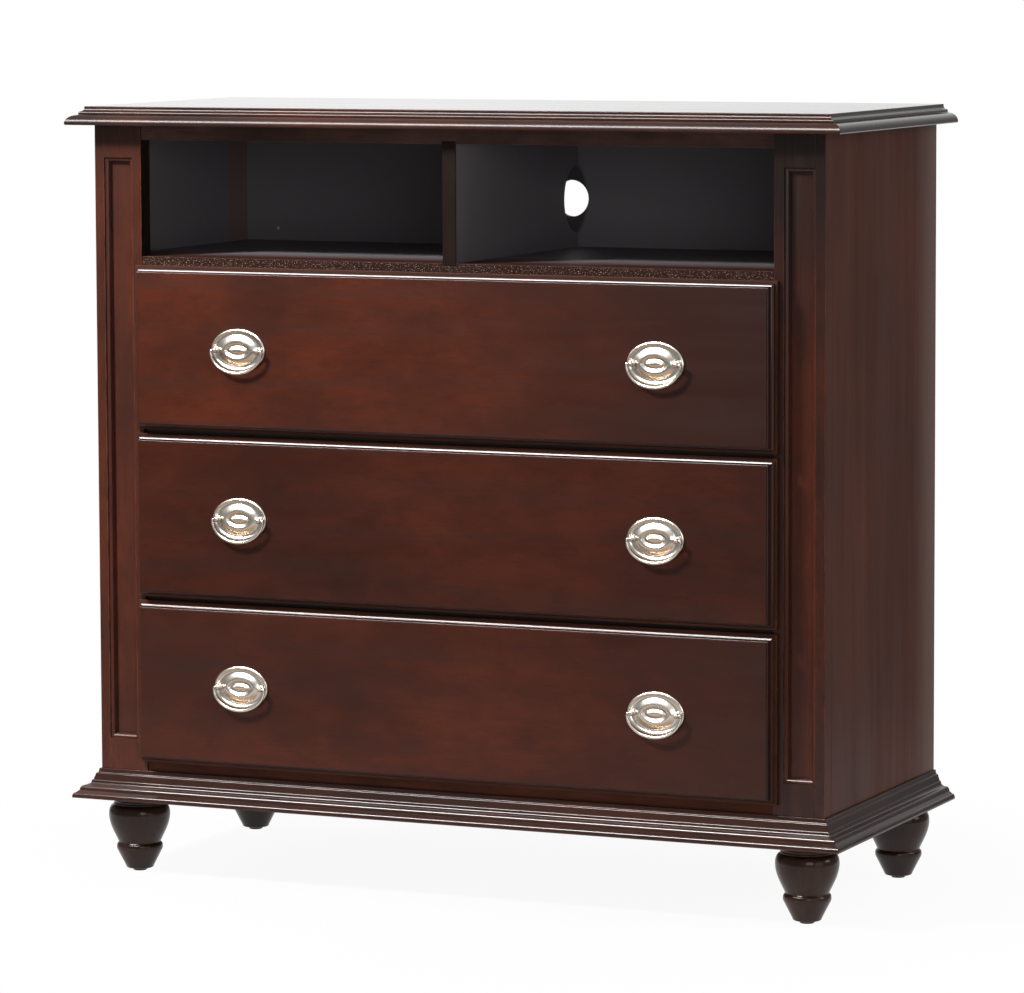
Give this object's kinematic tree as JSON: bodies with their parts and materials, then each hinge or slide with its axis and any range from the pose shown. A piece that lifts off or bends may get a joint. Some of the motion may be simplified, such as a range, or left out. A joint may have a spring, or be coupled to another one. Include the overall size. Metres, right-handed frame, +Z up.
{
  "type": "media chest",
  "caption": "Media chest with an open divided media bay above wide lipped drawers, cornice top, panelled pilasters, moulded base, oval bail pulls and turned feet.",
  "frame": {"origin": "on the floor, under the middle of the overall box", "axes": "+X to the chest's own right-hand end as seen from the front, +Y to the back (drawers open along -Y), +Z up"},
  "size_m": [1.117, 0.4634, 1.0516],
  "materials": {
    "cherry_stain": "gloss dark cherry stain",
    "dark_stain": "satin near-black brown stain",
    "foot_stain": "gloss near-black brown stain on turned hardwood",
    "box_wood": "clear satin lacquer on pale hardwood",
    "plywood": "plain brown-stained plywood",
    "satin_nickel": "satin nickel plate over stamped and cast metal"
  },
  "bodies": {
    "case": {"top_panel": "cherry_stain", "cornice_front": "cherry_stain", "cornice_left": "cherry_stain", "cornice_right": "cherry_stain", "side_panel_left": "cherry_stain", "side_panel_right": "cherry_stain", "back_panel": "plywood", "pilaster_left": "cherry_stain", "pilaster_right": "cherry_stain", "pilaster_panel_left": "cherry_stain", "pilaster_panel_right": "cherry_stain", "sub_top_panel": "dark_stain", "media_shelf": "dark_stain", "bay_divider": "dark_stain", "drawer_rail_upper": "dark_stain", "drawer_rail_lower": "dark_stain", "bottom_rail": "cherry_stain", "bottom_panel": "plywood", "base_moulding_front": "cherry_stain", "base_moulding_left": "cherry_stain", "base_moulding_right": "cherry_stain", "foot_front_left": "foot_stain", "foot_front_right": "foot_stain", "foot_rear_left": "foot_stain", "foot_rear_right": "foot_stain", "runner_top_left": "box_wood", "runner_top_right": "box_wood", "runner_middle_left": "box_wood", "runner_middle_right": "box_wood", "runner_bottom_left": "box_wood", "runner_bottom_right": "box_wood"},
    "top_drawer": {"top_drawer_front": "cherry_stain", "top_drawer_side_left": "box_wood", "top_drawer_side_right": "box_wood", "top_drawer_back": "box_wood", "top_drawer_bottom": "plywood", "pull_plate_top_left": "satin_nickel", "pull_plate_top_right": "satin_nickel"},
    "bail_top_left": {"pull_bail_top_left": "satin_nickel"},
    "bail_top_right": {"pull_bail_top_right": "satin_nickel"},
    "middle_drawer": {"middle_drawer_front": "cherry_stain", "middle_drawer_side_left": "box_wood", "middle_drawer_side_right": "box_wood", "middle_drawer_back": "box_wood", "middle_drawer_bottom": "plywood", "pull_plate_middle_left": "satin_nickel", "pull_plate_middle_right": "satin_nickel"},
    "bail_middle_left": {"pull_bail_middle_left": "satin_nickel"},
    "bail_middle_right": {"pull_bail_middle_right": "satin_nickel"},
    "bottom_drawer": {"bottom_drawer_front": "cherry_stain", "bottom_drawer_side_left": "box_wood", "bottom_drawer_side_right": "box_wood", "bottom_drawer_back": "box_wood", "bottom_drawer_bottom": "plywood", "pull_plate_bottom_left": "satin_nickel", "pull_plate_bottom_right": "satin_nickel"},
    "bail_bottom_left": {"pull_bail_bottom_left": "satin_nickel"},
    "bail_bottom_right": {"pull_bail_bottom_right": "satin_nickel"}
  },
  "joints": [
    {"name": "top_drawer_slide", "type": "slide", "parent": "case", "child": "top_drawer", "axis": [0, -1, 0], "range_m": [0, 0.3]},
    {"name": "bail_top_left_hinge", "type": "hinge", "parent": "top_drawer", "child": "bail_top_left", "pos_m": [-0.302, -0.2279, 0.72755], "axis": [-1, 0, 0], "range_deg": [-8, 165]},
    {"name": "bail_top_right_hinge", "type": "hinge", "parent": "top_drawer", "child": "bail_top_right", "pos_m": [0.302, -0.2279, 0.72755], "axis": [-1, 0, 0], "range_deg": [-8, 165]},
    {"name": "middle_drawer_slide", "type": "slide", "parent": "case", "child": "middle_drawer", "axis": [0, -1, 0], "range_m": [0, 0.3]},
    {"name": "bail_middle_left_hinge", "type": "hinge", "parent": "middle_drawer", "child": "bail_middle_left", "pos_m": [-0.302, -0.2279, 0.49955], "axis": [-1, 0, 0], "range_deg": [-8, 165]},
    {"name": "bail_middle_right_hinge", "type": "hinge", "parent": "middle_drawer", "child": "bail_middle_right", "pos_m": [0.302, -0.2279, 0.49955], "axis": [-1, 0, 0], "range_deg": [-8, 165]},
    {"name": "bottom_drawer_slide", "type": "slide", "parent": "case", "child": "bottom_drawer", "axis": [0, -1, 0], "range_m": [0, 0.3]},
    {"name": "bail_bottom_left_hinge", "type": "hinge", "parent": "bottom_drawer", "child": "bail_bottom_left", "pos_m": [-0.302, -0.2279, 0.27155], "axis": [-1, 0, 0], "range_deg": [-8, 165]},
    {"name": "bail_bottom_right_hinge", "type": "hinge", "parent": "bottom_drawer", "child": "bail_bottom_right", "pos_m": [0.302, -0.2279, 0.27155], "axis": [-1, 0, 0], "range_deg": [-8, 165]}
  ]
}
